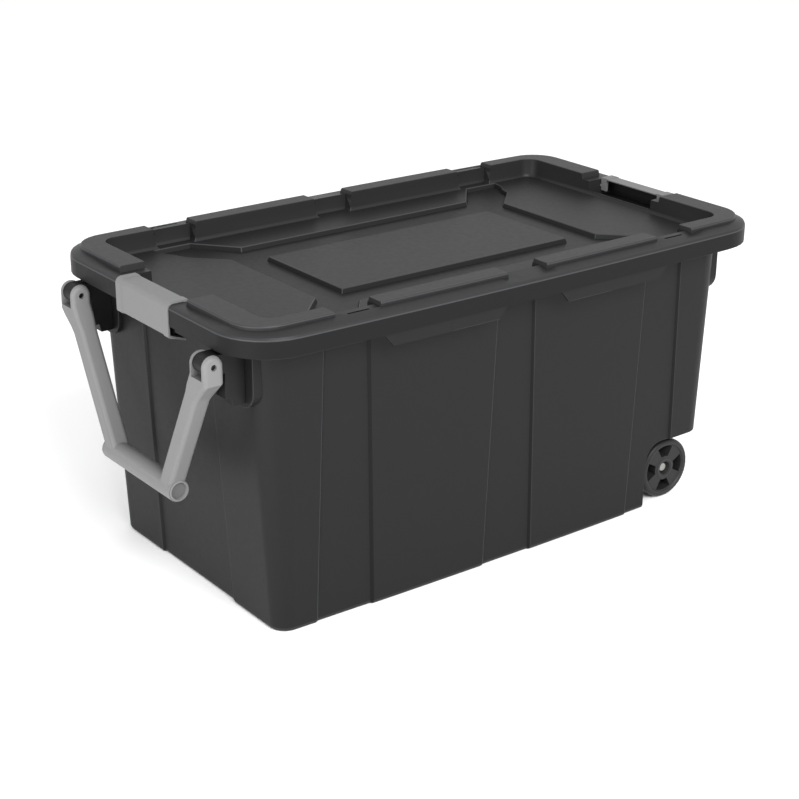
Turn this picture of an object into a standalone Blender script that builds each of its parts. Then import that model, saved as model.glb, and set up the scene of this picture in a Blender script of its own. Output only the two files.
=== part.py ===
"""Wheeled storage bin: tapered moulded tub, lift-off lid with two clip latches,
swinging pull handle on two brackets, and two wheels on a steel axle.

Metres, +Z up. X runs along the bin, with the wheels at +X and the handle at -X.
The origin is the middle of the tub's underside.
"""
import math

import bmesh
import bpy
from mathutils import Matrix

MM = 0.001

# Lid outline, which the other pieces follow
LID_HALF_LENGTH = 465 * MM
LID_HALF_WIDTH = 264 * MM
LID_CORNER = 78 * MM
LID_WALL = 3 * MM
SIDE_BOW = 4.5 * MM

# Tub walls
TUB_HEIGHT = 421 * MM
TUB_OVERHANG_END = 44.4 * MM
TUB_OVERHANG_SIDE = 40.1 * MM
TUB_TAPER_END = 23.1 * MM
TUB_TAPER_SIDE = 7.4 * MM
TUB_TOP_HALF_LENGTH = LID_HALF_LENGTH - TUB_OVERHANG_END
TUB_TOP_HALF_WIDTH = LID_HALF_WIDTH - TUB_OVERHANG_SIDE
TUB_BASE_HALF_LENGTH = TUB_TOP_HALF_LENGTH - TUB_TAPER_END
TUB_BASE_HALF_WIDTH = TUB_TOP_HALF_WIDTH - TUB_TAPER_SIDE
TUB_BASE_CORNER = 26 * MM
TUB_TOP_CORNER = 42 * MM
TUB_WALL = 3 * MM
TUB_BASE_ROUND = 5 * MM

# Moulded relief of the walls: shallow columns between raised panels
SIDE_RELIEF = 3 * MM
END_RELIEF = 3.5 * MM
RELIEF_SLOPE = 3.5 * MM
POST_WIDTH_BASE = 64.5 * MM
POST_WIDTH_TOP = 99.1 * MM
COLUMN_WIDTH_BASE = 91 * MM
COLUMN_WIDTH_TOP = 68.5 * MM
END_PANEL_WIDTH_BASE = 120.8 * MM
END_PANEL_WIDTH_TOP = 139 * MM
PANEL_INNER_BASE = 46 * MM
PANEL_INNER_TOP = 33 * MM
CORNER_POST_BASE = TUB_BASE_HALF_LENGTH - POST_WIDTH_BASE
CORNER_POST_TOP = TUB_TOP_HALF_LENGTH - POST_WIDTH_TOP
PANEL_OUTER_BASE = CORNER_POST_BASE - COLUMN_WIDTH_BASE
PANEL_OUTER_TOP = CORNER_POST_TOP - COLUMN_WIDTH_TOP
END_COLUMN_BASE = TUB_BASE_HALF_WIDTH - END_PANEL_WIDTH_BASE
END_COLUMN_TOP = TUB_TOP_HALF_WIDTH - END_PANEL_WIDTH_TOP

# Step in the base that the wheels sit under
STEP_LENGTH = 112.5 * MM
STEP_X = TUB_BASE_HALF_LENGTH - STEP_LENGTH
STEP_HEIGHT = 107 * MM
STEP_ROUND = 30 * MM

# Rim of the tub, with finger grips and latch catches hanging from it
RIM_GAP_SIDE = 0.8 * MM
RIM_GAP_END = 5 * MM
RIM_HALF_LENGTH = LID_HALF_LENGTH - LID_WALL - RIM_GAP_END
RIM_HALF_WIDTH = LID_HALF_WIDTH - LID_WALL - RIM_GAP_SIDE
RIM_CORNER = LID_CORNER - LID_WALL - RIM_GAP_END
RIM_LIP_DEPTH = 5.5 * MM
GRIP_DEPTH = 22 * MM
GRIP_FLARE = 18 * MM
GRIP_INSET_INNER = 32 * MM
GRIP_INSET_OUTER = 13 * MM
GRIP_INNER = PANEL_INNER_TOP + GRIP_INSET_INNER
GRIP_OUTER = PANEL_OUTER_TOP - GRIP_INSET_OUTER
CATCH_DEPTH = 17.5 * MM
CATCH_SIDE_GAP = 4 * MM

# Handle pads moulded on the end walls
PAD_INSET = 46.9 * MM
PAD_CENTRE_Y = TUB_TOP_HALF_WIDTH - PAD_INSET
PAD_HALF_WIDTH = 30 * MM
PAD_PROUD = 3.4 * MM
PAD_FACE_X = TUB_TOP_HALF_LENGTH + PAD_PROUD
PAD_DROP = 91 * MM
PAD_BOTTOM = TUB_HEIGHT - PAD_DROP
PAD_ROUND = 26 * MM

# Lid heights, ridge blocks and pocket
SKIRT_OVERLAP = 3 * MM
LEDGE_RISE = 26 * MM
SKIRT_BOTTOM = TUB_HEIGHT - SKIRT_OVERLAP
LEDGE_TOP = TUB_HEIGHT + LEDGE_RISE
LEDGE_ROUND = 5 * MM
LEDGE_WIDTH_END = 17 * MM
LEDGE_WIDTH_SIDE = 20.5 * MM
RIDGE_HEIGHT = 9.8 * MM
RIDGE_WIDTH_END = 39 * MM
RIDGE_WIDTH_SIDE = 25.5 * MM
RIDGE_HALF_LENGTH = LID_HALF_LENGTH - LEDGE_WIDTH_END
RIDGE_HALF_WIDTH = LID_HALF_WIDTH - LEDGE_WIDTH_SIDE
RIDGE_CORNER = 50 * MM
RIDGE_END_SLOPE = 2 * MM
RIDGE_EDGE_DROP = 2 * MM
RIDGE_EDGE_WIDTH = 1.5 * MM
RIDGE_ROOT = 3 * MM
CORNER_BLOCK_LENGTH = 128 * MM
SIDE_GAP_WIDTH = 69 * MM
MIDDLE_GAP = 34 * MM
SIDE_GAP_END = RIDGE_HALF_LENGTH - CORNER_BLOCK_LENGTH
SIDE_GAP_START = SIDE_GAP_END - SIDE_GAP_WIDTH
POCKET_HALF_LENGTH = RIDGE_HALF_LENGTH - RIDGE_WIDTH_END
POCKET_HALF_WIDTH = RIDGE_HALF_WIDTH - RIDGE_WIDTH_SIDE
POCKET_CORNER = 22 * MM
POCKET_DRAFT = 1.5 * MM
NICHE_DEPTH = 15 * MM
PANEL_DROP = 1.2 * MM
PANEL_TOP = TUB_HEIGHT - PANEL_DROP
PLATEAU_HEIGHT = 7 * MM
PLATEAU_TOP = PANEL_TOP + PLATEAU_HEIGHT
PLATEAU_SLOPE = 2.5 * MM
PLINTH_WIDTH = 3.5 * MM
PLINTH_HEIGHT = 4.5 * MM
PLINTH_SHELF = 1 * MM
END_PLATEAU_WIDTH = 151 * MM
END_PLATEAU_CORNER = 110 * MM
END_PLATEAU_CUT = 47 * MM
END_PLATEAU_WAIST = 67 * MM
END_PLATEAU_X = POCKET_HALF_LENGTH - END_PLATEAU_WIDTH
END_PLATEAU_Y = POCKET_HALF_WIDTH - END_PLATEAU_CORNER
END_PLATEAU_FOOT_X = END_PLATEAU_X + END_PLATEAU_WAIST
END_PLATEAU_ROUND_TURN = 40
SIDE_PLATEAU_DEPTH = 68 * MM
SIDE_PLATEAU_END = 144 * MM
SIDE_PLATEAU_TAPER = 51 * MM
SIDE_PLATEAU_HALF_FOOT = POCKET_HALF_LENGTH - SIDE_PLATEAU_END
SIDE_PLATEAU_HALF_TOP = SIDE_PLATEAU_HALF_FOOT - SIDE_PLATEAU_TAPER
SIDE_PLATEAU_Y = POCKET_HALF_WIDTH - SIDE_PLATEAU_DEPTH
ISLAND_GAP_END = 52 * MM
ISLAND_GAP_SIDE = 58 * MM
ISLAND_SHIFT_Y = -5 * MM
ISLAND_HALF_LENGTH = END_PLATEAU_X - ISLAND_GAP_END
ISLAND_HALF_WIDTH = SIDE_PLATEAU_Y - ISLAND_GAP_SIDE
SLIT_INSET = 16 * MM
SLIT_LENGTH = 35 * MM
SLIT_WIDTH = 4 * MM
SLIT_START = SIDE_GAP_START + SLIT_INSET
SLIT_Y = RIDGE_HALF_WIDTH + SLIT_WIDTH / 4
RIB_THICKNESS = 2.5 * MM
RIB_END_SPACE = 105 * MM
SIDE_RIBS_EACH_WAY = 4
SIDE_RIB_PITCH = (LID_HALF_LENGTH - RIB_END_SPACE) / SIDE_RIBS_EACH_WAY
END_RIB_SPACE = 50 * MM
END_RIB_PITCH = 55 * MM
END_RIBS = 2

# Clip latches on the ends of the lid
LATCH_HALF_WIDTH = 70 * MM
LATCH_WALL = 2.7 * MM
LATCH_PROUD = 1 * MM
LATCH_FRONT_X = LID_HALF_LENGTH + LATCH_PROUD
LATCH_PIVOT_INSET = 29 * MM
LATCH_PIVOT_X = LATCH_FRONT_X - LATCH_PIVOT_INSET
LATCH_PIVOT_DROP = 11 * MM
LATCH_PIVOT_Z = LEDGE_TOP - LATCH_PIVOT_DROP
END_GAP_MARGIN = 18 * MM
END_GAP = LATCH_HALF_WIDTH + END_GAP_MARGIN
LATCH_SHOULDER = 9 * MM
LATCH_FOOT_DROP = 21 * MM
LATCH_FOOT_Z = TUB_HEIGHT - LATCH_FOOT_DROP
LATCH_FOOT_ROUND = 4 * MM
LATCH_FOOT_TURN = 74
LATCH_HEEL = 1 * MM
LATCH_HOOK_REACH = 24 * MM
LATCH_HOOK_DROP = 7 * MM
LATCH_BORDER = 13 * MM
LATCH_BORDER_SLOPE = 2.5 * MM
LATCH_DISH = 1.2 * MM
LATCH_SEAT_GAP = 2 * MM
LATCH_SEAT_ROUND = 4 * MM
PRONG_WIDTH = 11.5 * MM
PRONG_DROP = 7.5 * MM
PRONG_BACK = 2 * MM
PRONG_FRONT = 3.8 * MM
PRONG_TIP_BACK = 1.5 * MM
PRONG_TIP_FRONT = 2.5 * MM
TRUNNION_RADIUS = 2.5 * MM
TRUNNION_LENGTH = 3.6 * MM
LATCH_SIDE_GAP = 1.5 * MM
HINGE_SLOT_END = 4.5 * MM
HINGE_SLOT_SILL = 15.5 * MM

# Pull handle
HANDLE_PIVOT_REACH = 50 * MM
HANDLE_PIVOT_X = -(PAD_FACE_X + HANDLE_PIVOT_REACH)
HANDLE_PIVOT_DROP = 21 * MM
HANDLE_PIVOT_Z = TUB_HEIGHT - HANDLE_PIVOT_DROP
FORK_WIDTH = 39 * MM
FORK_SLOT = 26 * MM
FORK_SLOT_DEPTH = 17.5 * MM
FORK_EAR_RADIUS = 15 * MM
FORK_STRAIGHT = 25 * MM
FORK_CHAMFER = 31 * MM
ARM_DEPTH = 27 * MM
ARM_WIDTH = 30.3 * MM
ARM_EDGE_ROUND = 6 * MM
ARM_TAPER_START = 46 * MM
ARM_END_CLEAR = 1 * MM
CROSSBAR_DROP = 208 * MM
CROSSBAR_RADIUS = 16 * MM
ARM_LEAN = 82 * MM
CROSSBAR_HALF_LENGTH = PAD_CENTRE_Y - ARM_LEAN
CROSSBAR_END_ROUND = 3 * MM
CROSSBAR_DISH_RADIUS = 12.5 * MM
CROSSBAR_DISH_DEPTH = 4 * MM
CROSSBAR_DISH_DRAFT = 1 * MM

# Handle brackets and their pins
LUG_GAP = 0.5 * MM
LUG_WIDTH = FORK_SLOT - 2 * LUG_GAP
LUG_RADIUS = 13 * MM
LUG_ROOM = 20 * MM
LUG_NECK_DROP = 14 * MM
BRACKET_FOOT_LENGTH = 19 * MM
BRACKET_DROP = 62 * MM
BRACKET_STEP_DROP = 50 * MM
BRACKET_STEP_X = -(PAD_FACE_X + BRACKET_FOOT_LENGTH)
BRACKET_BOTTOM = HANDLE_PIVOT_Z - BRACKET_DROP
BRACKET_STEP_BOTTOM = HANDLE_PIVOT_Z - BRACKET_STEP_DROP
BRACKET_STEP_SLOPE = 3 * MM
PIN_RADIUS = 4 * MM
PIN_RECESS = 3.5 * MM

# Wheels, axle, hangers and end caps
WHEEL_RADIUS = 48.4 * MM
WHEEL_INSET_X = 54.9 * MM
WHEEL_INSET_Y = 12.5 * MM
WHEEL_FLOOR_GAP = 0.3 * MM
WHEEL_X = TUB_BASE_HALF_LENGTH - WHEEL_INSET_X
WHEEL_Z = WHEEL_RADIUS + WHEEL_FLOOR_GAP
WHEEL_FACE_Y = TUB_BASE_HALF_WIDTH - WHEEL_INSET_Y
WHEEL_WIDTH = 38 * MM
WHEEL_TREAD_ROUND = 5 * MM
WHEEL_BACK_ROUND = 3 * MM
WHEEL_RING = 8 * MM
WHEEL_RING_SLOPE = 2 * MM
WHEEL_DISH = 2.5 * MM
HUB_RADIUS = 15 * MM
HUB_EDGE = 1 * MM
HUB_SLOPE = 3 * MM
HUB_HOLE_RADIUS = 11 * MM
HUB_HOLE_DRAFT = 2 * MM
HUB_HOLE_DEPTH = 9 * MM
HUB_BOSS_LENGTH = 5 * MM
HUB_BOSS_DRAFT = 2 * MM
WHEEL_POCKETS = 4
WHEEL_POCKET_DEPTH = 27 * MM
WHEEL_POCKET_OUTER = 37.4 * MM
WHEEL_POCKET_INNER = 20 * MM
WHEEL_POCKET_OUTER_SPREAD = 49
WHEEL_POCKET_INNER_SPREAD = 40
AXLE_RADIUS = 4 * MM
AXLE_TIP = 1.5 * MM
CAP_RADIUS = 8 * MM
CAP_CROWN_RADIUS = 5 * MM
CAP_EDGE = 1 * MM
CAP_THICKNESS = 3.2 * MM
HANGER_THICKNESS = 8 * MM
HANGER_RADIUS = 13 * MM
HANGER_TOP_HALF = 26 * MM

# Clearances and how far joined shapes run into each other
TOUCH = 0.3 * MM
SINK = 1.5 * MM
RIB_SINK = 0.6 * MM
REACH = 30 * MM

# Facets, with angles in degrees
CORNER_STEPS = 8
SIDE_STEPS = 8
PANEL_STEPS = 3
ROUND_STEPS = 6
EDGE_STEPS = 4
BEVEL_STEPS = 3
CIRCLE_STEPS = 32
SMALL_CIRCLE_STEPS = 16
AXLE_STEPS = 24
WHEEL_STEPS = 40
SHARP_ANGLE = 28
BEVEL_ANGLE = 50
ROUND_MIDDLE = 1 - math.cos(math.radians(45))
MERGE = 0.001 * MM

COLOURS = {
    "charcoal": (0.045, 0.045, 0.047, 1.0),
    "grey": (0.35, 0.35, 0.35, 1.0),
    "black": (0.012, 0.012, 0.012, 1.0),
    "steel": (0.62, 0.62, 0.60, 1.0),
    "dark_steel": (0.05, 0.05, 0.05, 1.0),
}


# Scene, collections and materials

def clear_scene():
    for item in list(bpy.data.objects):
        bpy.data.objects.remove(item, do_unlink=True)


def make_collection(name):
    group = bpy.data.collections.new(name)
    bpy.context.scene.collection.children.link(group)
    return group


def make_material(name, colour, roughness, metallic=0.0):
    material = bpy.data.materials.new(name)
    material.use_nodes = True
    shader = material.node_tree.nodes["Principled BSDF"]
    shader.inputs["Base Color"].default_value = COLOURS[colour]
    shader.inputs["Roughness"].default_value = roughness
    shader.inputs["Metallic"].default_value = metallic
    material.diffuse_color = COLOURS[colour]
    return material


clear_scene()
PARTS = make_collection("wheeled_storage_bin")
CUTTERS = make_collection("cutters")


def add_object(name, mesh, group):
    item = bpy.data.objects.new(name, mesh)
    group.objects.link(item)
    if group is CUTTERS:
        item.hide_render = True
        item.display_type = "WIRE"
    return item


def finish_part(item, material):
    """Give a part its material and smooth its round faces."""
    item.data.materials.clear()
    item.data.materials.append(material)
    item.data.shade_smooth()
    item.data.set_sharp_from_angle(angle=math.radians(SHARP_ANGLE))


def place(item, location):
    """Move an object to its place without moving its shape."""
    item.data.transform(Matrix.Translation(location).inverted())
    item.location = location


# Outlines, as lists of flat points, counter-clockwise

def arc(centre_x, centre_y, radius, start, end, steps):
    """Points of an arc between two angles in degrees, both ends included."""
    points = []
    for index in range(steps + 1):
        angle = math.radians(start + (end - start) * index / steps)
        points.append((centre_x + radius * math.cos(angle), centre_y + radius * math.sin(angle)))
    return points


def four_quarters(quarter):
    """Mirror a run from the +X axis to the +Y axis into a closed outline."""
    second = [(-x, y) for x, y in reversed(quarter)][1:]
    third = [(-x, -y) for x, y in quarter][1:]
    fourth = [(x, -y) for x, y in reversed(quarter)][1:-1]
    return quarter + second + third + fourth


def bow(x, half_length, amount=SIDE_BOW):
    """Outward crown of a long side at a distance x from its middle."""
    return amount * max(0.0, 1.0 - (x / half_length) ** 2)


def bowed_rectangle(half_length, half_width, corner, amount=SIDE_BOW):
    """Rounded rectangle whose long sides swell outward in the middle."""
    straight = half_length - corner
    quarter = [(half_length, 0.0)]
    quarter += arc(straight, half_width - corner, corner, 0, 90, CORNER_STEPS)
    for index in range(SIDE_STEPS - 1, -1, -1):
        x = straight * index / SIDE_STEPS
        quarter.append((x, half_width + bow(x, straight, amount)))
    return four_quarters(quarter)


def between(base, top, level):
    return base + (top - base) * level


def tub_outline(z, inset=0.0):
    """The wall's outline at height z, with its columns and panels."""
    level = z / TUB_HEIGHT
    half_length = between(TUB_BASE_HALF_LENGTH, TUB_TOP_HALF_LENGTH, level) - inset
    half_width = between(TUB_BASE_HALF_WIDTH, TUB_TOP_HALF_WIDTH, level) - inset
    corner = between(TUB_BASE_CORNER, TUB_TOP_CORNER, level) - inset
    straight = half_length - corner
    column = between(END_COLUMN_BASE, END_COLUMN_TOP, level)
    post = between(CORNER_POST_BASE, CORNER_POST_TOP, level)
    outer = between(PANEL_OUTER_BASE, PANEL_OUTER_TOP, level)
    inner = between(PANEL_INNER_BASE, PANEL_INNER_TOP, level)
    quarter = [(half_length - END_RELIEF, 0.0), (half_length - END_RELIEF, column)]
    quarter.append((half_length, column + RELIEF_SLOPE))
    quarter += arc(straight, half_width - corner, corner, 0, 90, CORNER_STEPS)
    sides = [
        (post + RELIEF_SLOPE, 0.0), (post, SIDE_RELIEF),
        (outer + RELIEF_SLOPE, SIDE_RELIEF),
    ]
    sides += [(between(outer, inner, index / PANEL_STEPS), 0.0)
              for index in range(PANEL_STEPS + 1)]
    sides += [(inner - RELIEF_SLOPE, SIDE_RELIEF), (0.0, SIDE_RELIEF)]
    quarter += [(x, half_width - depth + bow(x, straight)) for x, depth in sides]
    return four_quarters(quarter)


def rim_outline(inset=0.0):
    return bowed_rectangle(RIM_HALF_LENGTH - inset, RIM_HALF_WIDTH - inset, RIM_CORNER - inset)


def lid_outline(inset=0.0):
    return bowed_rectangle(LID_HALF_LENGTH - inset, LID_HALF_WIDTH - inset, LID_CORNER - inset)


def offset_outline(points, distance):
    """Move each edge of a counter-clockwise outline outward, keeping mitred corners."""
    moved = []
    count = len(points)
    for index, (x, y) in enumerate(points):
        before = points[index - 1]
        after = points[(index + 1) % count]
        normals = []
        for first, second in ((before, (x, y)), ((x, y), after)):
            length = math.hypot(second[0] - first[0], second[1] - first[1])
            normals.append(((second[1] - first[1]) / length, (first[0] - second[0]) / length))
        sum_x = normals[0][0] + normals[1][0]
        sum_y = normals[0][1] + normals[1][1]
        scale = 2 * distance / (sum_x ** 2 + sum_y ** 2)
        moved.append((x + sum_x * scale, y + sum_y * scale))
    return moved


# Solids

def loft(name, sections, group=CUTTERS):
    """Closed solid through a stack of sections with equal point counts."""
    shape = bmesh.new()
    rings = [[shape.verts.new(point) for point in section] for section in sections]
    count = len(rings[0])
    for lower, upper in zip(rings, rings[1:]):
        for index in range(count):
            after = (index + 1) % count
            shape.faces.new((lower[index], lower[after], upper[after], upper[index]))
    shape.faces.new(list(reversed(rings[0])))
    shape.faces.new(rings[-1])
    bmesh.ops.recalc_face_normals(shape, faces=shape.faces)
    mesh = bpy.data.meshes.new(name)
    shape.to_mesh(mesh)
    shape.free()
    return add_object(name, mesh, group)


def level(outline, z):
    return [(x, y, z) for x, y in outline]


FACING = {
    "Z": Matrix.Identity(4),
    "Y": Matrix(((1, 0, 0, 0), (0, 0, -1, 0), (0, 1, 0, 0), (0, 0, 0, 1))),
    "X": Matrix(((0, 0, 1, 0), (1, 0, 0, 0), (0, 1, 0, 0), (0, 0, 0, 1))),
}


def plate(name, outlines, low, high, axis="Z", group=CUTTERS):
    """Flat outlines given thickness along an axis, as one mesh.

    Along Y an outline holds (x, z) points, along X it holds (y, z) points."""
    curve = bpy.data.curves.new(name, "CURVE")
    curve.dimensions = "2D"
    curve.fill_mode = "BOTH"
    curve.extrude = (high - low) / 2
    for outline in outlines:
        spline = curve.splines.new("POLY")
        spline.points.add(len(outline) - 1)
        for point, (x, y) in zip(spline.points, outline):
            point.co = (x, y, 0.0, 1.0)
        spline.use_cyclic_u = True
    guide = add_object(name + "_curve", curve, CUTTERS)
    middle = (low + high) / 2
    side = -middle if axis == "Y" else middle
    guide.matrix_world = FACING[axis] @ Matrix.Translation((0, 0, side))
    bpy.context.view_layer.update()
    evaluated = guide.evaluated_get(bpy.context.evaluated_depsgraph_get())
    mesh = bpy.data.meshes.new_from_object(evaluated)
    mesh.transform(guide.matrix_world)
    bpy.data.objects.remove(guide, do_unlink=True)
    shape = bmesh.new()
    shape.from_mesh(mesh)
    bmesh.ops.remove_doubles(shape, verts=shape.verts, dist=MERGE)
    bmesh.ops.recalc_face_normals(shape, faces=shape.faces)
    shape.to_mesh(mesh)
    shape.free()
    mesh.materials.clear()
    return add_object(name, mesh, group)


def box(name, low, high, group=CUTTERS):
    """Cube primitive stretched between two corners."""
    shape = bmesh.new()
    bmesh.ops.create_cube(shape, size=1.0)
    size = [b - a for a, b in zip(low, high)]
    middle = [(a + b) / 2 for a, b in zip(low, high)]
    bmesh.ops.scale(shape, vec=size, verts=shape.verts)
    bmesh.ops.translate(shape, vec=middle, verts=shape.verts)
    mesh = bpy.data.meshes.new(name)
    shape.to_mesh(mesh)
    shape.free()
    return add_object(name, mesh, group)


def rod(name, radius, start_y, end_y, x, z, group=CUTTERS, steps=SMALL_CIRCLE_STEPS):
    """Cylinder along Y between two places on it."""
    shape = bmesh.new()
    turn = Matrix.Rotation(math.radians(-90), 4, "X")
    shift = Matrix.Translation((x, (start_y + end_y) / 2, z))
    bmesh.ops.create_cone(shape, cap_ends=True, segments=steps, radius1=radius, radius2=radius,
                          depth=end_y - start_y, matrix=shift @ turn)
    mesh = bpy.data.meshes.new(name)
    shape.to_mesh(mesh)
    shape.free()
    return add_object(name, mesh, group)


def turned(name, profile, group=PARTS, steps=CIRCLE_STEPS):
    """Solid of revolution about Y: profile points are (radius, y), outer side top to bottom."""
    shape = bmesh.new()
    points = [shape.verts.new((radius, 0.0, y)) for radius, y in profile]
    for first, second in zip(points, points[1:]):
        shape.edges.new((first, second))
    mesh = bpy.data.meshes.new(name)
    shape.to_mesh(mesh)
    shape.free()
    item = add_object(name, mesh, group)
    screw = item.modifiers.new("turn", "SCREW")
    screw.steps = steps
    screw.render_steps = steps
    screw.use_merge_vertices = True
    screw.merge_threshold = 10 * MERGE
    item.rotation_euler = (math.radians(-90), 0, 0)
    return item


def combine(item, other, operation):
    change = item.modifiers.new(operation.lower() + "_" + other.name, "BOOLEAN")
    change.operation = operation
    change.object = other
    change.solver = "EXACT"


def join(item, *others):
    for other in others:
        combine(item, other, "UNION")


def cut(item, *others):
    for other in others:
        combine(item, other, "DIFFERENCE")


def keep_within(item, other):
    combine(item, other, "INTERSECT")


# Tub

def step_outline(grow=0.0):
    """Side view of the space that the step takes from the base, as (x, z) points."""
    left = STEP_X - grow
    top = STEP_HEIGHT + grow
    radius = STEP_ROUND + grow
    corner = list(reversed(arc(left + radius, top - radius, radius, 90, 180, ROUND_STEPS)))
    far = LID_HALF_LENGTH
    return [(left, -REACH)] + corner + [(far, top), (far, -REACH)]


def make_tub_walls():
    walls = loft("tub", [
        level(tub_outline(0.0, TUB_BASE_ROUND), 0.0),
        level(tub_outline(0.0, TUB_BASE_ROUND * ROUND_MIDDLE), TUB_BASE_ROUND * ROUND_MIDDLE),
        level(tub_outline(TUB_BASE_ROUND), TUB_BASE_ROUND),
        level(tub_outline(TUB_HEIGHT - SINK), TUB_HEIGHT - SINK),
    ], PARTS)
    cut(walls, plate("step_cut", [step_outline()], -LID_HALF_WIDTH, LID_HALF_WIDTH, "Y"))
    return walls


def make_tub_hollow():
    """The space inside the walls, which follows the step one wall away from it."""
    top = TUB_HEIGHT + REACH
    hollow = loft("tub_hollow", [
        level(tub_outline(TUB_WALL, TUB_WALL + TUB_BASE_ROUND / 2), TUB_WALL),
        level(tub_outline(TUB_WALL + TUB_BASE_ROUND / 2, TUB_WALL), TUB_WALL + TUB_BASE_ROUND / 2),
        level(tub_outline(top, TUB_WALL), top),
    ])
    grown = step_outline(TUB_WALL)
    cut(hollow, plate("step_inner_cut", [grown], -LID_HALF_WIDTH, LID_HALF_WIDTH, "Y"))
    return hollow


def make_rim():
    """Flat flange with a short lip turned down at its edge."""
    lip_bottom = TUB_HEIGHT - RIM_LIP_DEPTH
    rim = loft("rim", [level(rim_outline(), lip_bottom), level(rim_outline(), TUB_HEIGHT)])
    hollow = rim_outline(TUB_WALL)
    under = loft("rim_under", [
        level(hollow, lip_bottom - REACH), level(hollow, TUB_HEIGHT - TUB_WALL)])
    cut(rim, under)
    return rim


def make_grips():
    """Deeper stretches of the lip on both long sides, two on each, to lift by."""
    bottom = TUB_HEIGHT - GRIP_DEPTH
    top = TUB_HEIGHT - RIM_LIP_DEPTH + SINK
    flare = GRIP_FLARE
    grips = loft("grips", [level(rim_outline(), bottom), level(rim_outline(), top)])
    hollow = rim_outline(TUB_WALL)
    cut(grips, loft("grips_under", [level(hollow, bottom - REACH), level(hollow, top + REACH)]))
    trapezoids = []
    for side in (-1, 1):
        inner = side * GRIP_INNER
        outer = side * GRIP_OUTER
        low = bottom - SINK
        high = top + SINK
        trapezoids.append([(inner, low), (outer, low), (outer + side * flare, high),
                           (inner - side * flare, high)])
    keep_within(grips, plate("grip_shape", trapezoids, -LID_HALF_LENGTH, LID_HALF_LENGTH, "Y"))
    return grips


def make_catch(side):
    """Strip of the lip that the latch's hook takes hold of."""
    half = LATCH_HALF_WIDTH - CATCH_SIDE_GAP
    low, high = sorted((side * RIM_HALF_LENGTH, side * (RIM_HALF_LENGTH - TUB_WALL)))
    return box("catch", (low, -half, TUB_HEIGHT - CATCH_DEPTH),
               (high, half, TUB_HEIGHT - TUB_WALL / 2))


def make_pad(end, side):
    """Round-bottomed raised pad that a handle bracket fits, on both ends."""
    centre = side * PAD_CENTRE_Y
    bottom = PAD_BOTTOM + PAD_ROUND
    outline = arc(centre + PAD_HALF_WIDTH - PAD_ROUND, bottom, PAD_ROUND, 0, -90, ROUND_STEPS)
    outline += arc(centre - PAD_HALF_WIDTH + PAD_ROUND, bottom, PAD_ROUND, -90, -180, ROUND_STEPS)
    top = TUB_HEIGHT - SINK
    outline += [(centre - PAD_HALF_WIDTH, top), (centre + PAD_HALF_WIDTH, top)]
    low, high = sorted((end * PAD_FACE_X, end * (PAD_FACE_X - REACH)))
    return plate("pad", [outline], low, high, "X")


def hanger_face():
    """Distance from the middle to the outer face of an axle hanger."""
    return WHEEL_FACE_Y - WHEEL_WIDTH - HUB_BOSS_LENGTH - TOUCH


def make_hanger(side):
    """Tapered plate under the step that the axle passes through."""
    outline = [(WHEEL_X + HANGER_TOP_HALF, STEP_HEIGHT + SINK),
               (WHEEL_X - HANGER_TOP_HALF, STEP_HEIGHT + SINK)]
    outline += arc(WHEEL_X, WHEEL_Z, HANGER_RADIUS, 180, 360, 2 * ROUND_STEPS)
    face = hanger_face()
    low, high = sorted((side * face, side * (face - HANGER_THICKNESS)))
    return plate("hanger", [outline], low, high, "Y")


def make_tub(material):
    tub = make_tub_walls()
    join(tub, make_rim(), make_grips())
    for end in (-1, 1):
        join(tub, make_catch(end))
        for side in (-1, 1):
            join(tub, make_pad(end, side))
    for side in (-1, 1):
        join(tub, make_hanger(side))
    cut(tub, make_tub_hollow())
    cut(tub, rod("axle_hole", AXLE_RADIUS + TOUCH, -WHEEL_FACE_Y, WHEEL_FACE_Y, WHEEL_X, WHEEL_Z,
                 steps=AXLE_STEPS))
    finish_part(tub, material)
    return tub


# Lid

SIDE_GAPS = [(-MIDDLE_GAP, MIDDLE_GAP), (SIDE_GAP_START, SIDE_GAP_END),
             (-SIDE_GAP_END, -SIDE_GAP_START)]


def ridge_gaps(wall):
    """Side view of the gaps between the ridge blocks on the long sides, as (x, z) points."""
    low = LEDGE_TOP - wall - RIDGE_ROOT / 2
    high = LEDGE_TOP + RIDGE_HEIGHT + REACH
    lean = RIDGE_END_SLOPE * (high - low) / RIDGE_HEIGHT
    gaps = []
    for start, end in SIDE_GAPS:
        start -= wall
        end += wall
        gaps.append([(start, low), (end, low), (end + lean, high), (start - lean, high)])
    return gaps


def make_ridge(wall):
    """Ring of raised blocks around the pocket, before the pocket is cut."""
    low = LEDGE_TOP - wall - RIDGE_ROOT
    high = LEDGE_TOP + RIDGE_HEIGHT - wall
    outline = bowed_rectangle(RIDGE_HALF_LENGTH - wall, RIDGE_HALF_WIDTH - wall,
                              RIDGE_CORNER - wall)
    ridge = loft("ridge", [
        level(outline, low), level(outline, high - RIDGE_EDGE_DROP),
        level(offset_outline(outline, -RIDGE_EDGE_WIDTH), high)])
    gaps = ridge_gaps(wall)
    cut(ridge, plate("ridge_gaps", gaps, -LID_HALF_WIDTH, LID_HALF_WIDTH, "Y"))
    base = LEDGE_TOP - wall - RIDGE_ROOT / 2
    top = high + REACH
    lean = RIDGE_END_SLOPE * (top - base) / RIDGE_HEIGHT
    half = END_GAP + wall
    end_gap = [(-half, base), (half, base), (half + lean, top), (-half - lean, top)]
    cut(ridge, plate("ridge_end_gap", [end_gap], -LID_HALF_LENGTH, LID_HALF_LENGTH, "X"))
    return ridge


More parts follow.
